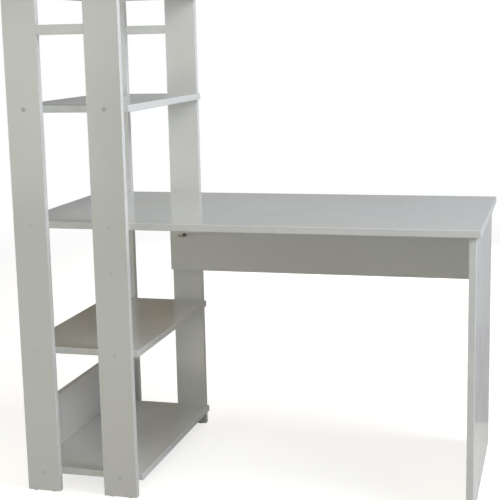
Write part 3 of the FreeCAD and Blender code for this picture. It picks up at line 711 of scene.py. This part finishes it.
# Fasteners inside the boards
zinc = cast_zinc("cam_cast_zinc")
for node in ("modesty_cams", "leg_cams"):
    dress(node, zinc)
steel = plated_steel("screw_plated_steel", STEEL_BRIGHT, STEEL_STAINED)
for node in [shelf + "_screws" for shelf in SHELVES] + [
        "side_board_screws", "modesty_cam_bolts", "leg_cam_bolts"]:
    dress(node, steel)
# The screw's point under the desktop is darkened as painted shade
dress("modesty_post_screw", plated_steel("screw_steel_painted_shade", SCREW_SHADE_PALE, SCREW_SHADE_DARK))
dowel_along_y = beech("dowel_beech_across_shelves", 1)
for shelf in SHELVES:
    dress(shelf + "_dowels", dowel_along_y)
dress("high_rail_dowels", beech("dowel_beech_in_rails", 0))
dress("leg_dowels", beech("dowel_beech_upright", 2))
dress("modesty_dowels", beech("dowel_beech_in_panel", 2))


# Room, floor and light

WHITE = (1, 1, 1, 1)
ROOM_TINT = (0.93, 0.96, 1.0, 1)
ROOM_LEVEL = 0.02
FLOOR_SIZE, FLOOR_DROP = 60, 0.2 * MM
FLOOR_COLOUR = (0.62, 0.60, 0.56, 1)
FLOOR_LIFT = 0.68
FLOOR_FADE = (1.6, 5.0)
CARD_DISTANCE, CARD_WIDTH, CARD_HEIGHT = 0.48, 5.0, 2.2
CARD_GREY = (0.37, 0.385, 0.38)
CARD_DUSK = (0.20, 0.20, 0.20)
CARD_BROWN = (0.155, 0.110, 0.050)
CARD_FOOT = (0.320, 0.310, 0.320)
# Where the card's colours change, in metres: two heights and two places along it
CARD_HIGH = (0.60, 0.80)
CARD_ABOVE_FOOT = (0.28, 0.34)
CARD_RIGHT = (0.25, 0.50)
CARD_LIT = (-1.2, -0.2)
# Each lamp's name, place, the point it is turned to, width, height, power in watts and colour
LAMPS = (
    ("window_high", (2.8, -0.4, 3.2), (0, 0, 0.7), 1.8, 1.8, 94, (0.95, 0.97, 1.0)),
    ("window_far", (4.5, -2.2, 2.4), (0, 0, 0.7), 2.6, 2.6, 79, (0.99, 0.99, 1.0)),
    ("window_near", (1.9, -1.0, 1.7), (-0.3, 0.2, 0.9), 0.8, 0.8, 6.5, (0.42, 0.60, 1.0)),
    ("right_behind", (3.2, 1.4, 1.8), (0, 0, 0.7), 1.8, 1.8, 10, (1.0, 0.96, 0.99)),
    ("front_steep", (0.5, -2.2, 1.9), (-0.3, 0, 0.2), 0.8, 0.8, 12.5, (1.0, 0.97, 0.80)),
    ("front_fill", (-0.5, -3.8, 1.5), (-0.3, 0, 0.9), 2.4, 0.9, 2.2, (1.0, 0.85, 0.50)),
    ("tower_fill", (-1.5, -2.0, 0.95), (-0.5, -0.2, 0.7), 0.8, 0.8, 3.6, (0.86, 1.0, 0.95)),
    ("left_side", (-3.4, -0.8, 1.4), (0, 0, 0.7), 1.8, 1.8, 20, (1.0, 0.95, 0.84)),
    ("left_low", (-3.4, -0.8, 0.5), (0, 0, 0.5), 1.8, 0.9, 46, (1.0, 0.98, 0.93)),
    ("behind", (-0.1, 3.6, 1.0), (0, 0, 0.6), 2.4, 1.4, 50, (1.0, 0.98, 0.97)),
)
# Seen from behind, the smooth tops would mirror these lamps and clip to white.
UNMIRRORED = ("window_high", "window_far", "window_near")


def studio_room():
    """White behind the desk for the camera and for reflections, softer light for all else."""
    world = bpy.data.worlds.new("studio_room")
    bpy.context.scene.world = world
    room = Finish(world)
    camera_ray, glossy_ray, passing_ray = [
        room.node("ShaderNodeLightPath", output=name)
        for name in ("Is Camera Ray", "Is Glossy Ray", "Is Transmission Ray")]
    seen = camera_ray.maths("MAXIMUM", camera_ray, glossy_ray)
    seen = seen.maths("MAXIMUM", seen, passing_ray)
    white = room.node("ShaderNodeBackground", {}, {"Color": WHITE, "Strength": 1.0})
    soft = room.node("ShaderNodeBackground", {}, {"Color": ROOM_TINT, "Strength": ROOM_LEVEL})
    both = room.node("ShaderNodeMixShader", {}, {0: seen, 1: soft, 2: white})
    room.node("ShaderNodeOutputWorld", {}, {"Surface": both})


def floor():
    """A plain pale floor with the desk's shadow. Far from the desk it is white for the camera."""
    bpy.ops.mesh.primitive_plane_add(size=FLOOR_SIZE, location=(0, 0, -FLOOR_DROP))
    ground = bpy.context.object
    ground.name = "studio_floor"
    finish = new_finish("studio_floor_pale")
    camera_ray = finish.node("ShaderNodeLightPath", output="Is Camera Ray")
    fade = finish.step(finish.length(finish.place()), *FLOOR_FADE)
    shaded = finish.node("ShaderNodeBsdfDiffuse", {}, {"Color": FLOOR_COLOUR})
    lift = finish.node("ShaderNodeEmission", {},
                       {"Color": WHITE, "Strength": camera_ray * FLOOR_LIFT})
    near = finish.node("ShaderNodeAddShader", {}, {0: shaded, 1: lift})
    white = finish.node("ShaderNodeEmission", {}, {"Color": WHITE, "Strength": 1.0})
    both = finish.node("ShaderNodeMixShader", {}, {0: fade * camera_ray, 1: near, 2: white})
    finish.node("ShaderNodeOutputMaterial", {}, {"Surface": both})
    ground.data.materials.append(finish.owner)
    ground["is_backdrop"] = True


def grey_card():
    """A backdrop behind the desk, of which the camera sees only what the smooth boards mirror."""
    bpy.ops.mesh.primitive_plane_add(size=1, location=(0, CARD_DISTANCE, CARD_HEIGHT / 2),
                                     rotation=(math.radians(90), 0, 0))
    card = bpy.context.object
    card.name = "studio_grey_card"
    card.scale = (CARD_WIDTH, CARD_HEIGHT, 1)
    apply_place()
    finish = new_finish("studio_card_grey")
    high = finish.step(finish.along(2), *CARD_HIGH)
    right = finish.step(finish.along(0), *CARD_RIGHT)
    above_foot = right * finish.step(finish.along(2), *CARD_ABOVE_FOOT)
    pale = high + above_foot - high * above_foot
    grey = finish.tint(finish.step(finish.along(0), *CARD_LIT), CARD_DUSK, CARD_GREY)
    dark = finish.tint(right, CARD_BROWN, CARD_FOOT)
    colour = finish.tint(pale, dark, grey)
    glow = finish.node("ShaderNodeEmission", {}, {"Color": colour, "Strength": 1.0})
    finish.node("ShaderNodeOutputMaterial", {}, {"Surface": glow})
    card.data.materials.append(finish.owner)
    card.visible_camera = False
    card.visible_diffuse = False
    card.visible_transmission = False
    card.visible_shadow = False
    card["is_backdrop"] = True


def soft_box(name, place, aim, width, height, power, colour):
    """A rectangular studio lamp at a place, turned towards a point."""
    lamp = bpy.data.lights.new(name, "AREA")
    lamp.shape = "RECTANGLE"
    lamp.size, lamp.size_y = width, height
    lamp.energy = power
    lamp.color = colour
    body = bpy.data.objects.new(name, lamp)
    bpy.context.collection.objects.link(body)
    body.location = place
    body.rotation_euler = (Vector(aim) - Vector(place)).to_track_quat("-Z", "Y").to_euler()
    body.visible_glossy = name not in UNMIRRORED


studio_room()
floor()
grey_card()
for lamp in LAMPS:
    soft_box(*lamp)

# The camera at the photograph's viewing angle: metres, degrees and millimetres
CAMERA_PLACE = Vector((0.782326, -3.031991, 1.189752))
CAMERA_YAW, CAMERA_PITCH, CAMERA_ROLL = 15.296, 10.316, -1.248
CAMERA_LENS, SENSOR = 83.42, 36.0

camera_data = bpy.data.cameras.new("photo_camera")
camera_data.lens = CAMERA_LENS
camera_data.sensor_width = SENSOR
camera = bpy.data.objects.new("photo_camera", camera_data)
bpy.context.collection.objects.link(camera)
camera.matrix_world = (Matrix.Translation(CAMERA_PLACE)
                       @ Matrix.Rotation(math.radians(CAMERA_YAW), 4, "Z")
                       @ Matrix.Rotation(math.radians(90 - CAMERA_PITCH), 4, "X")
                       @ Matrix.Rotation(math.radians(CAMERA_ROLL), 4, "Z"))
bpy.context.scene.camera = camera
bpy.context.scene.view_settings.view_transform = "Standard"

low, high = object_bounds()
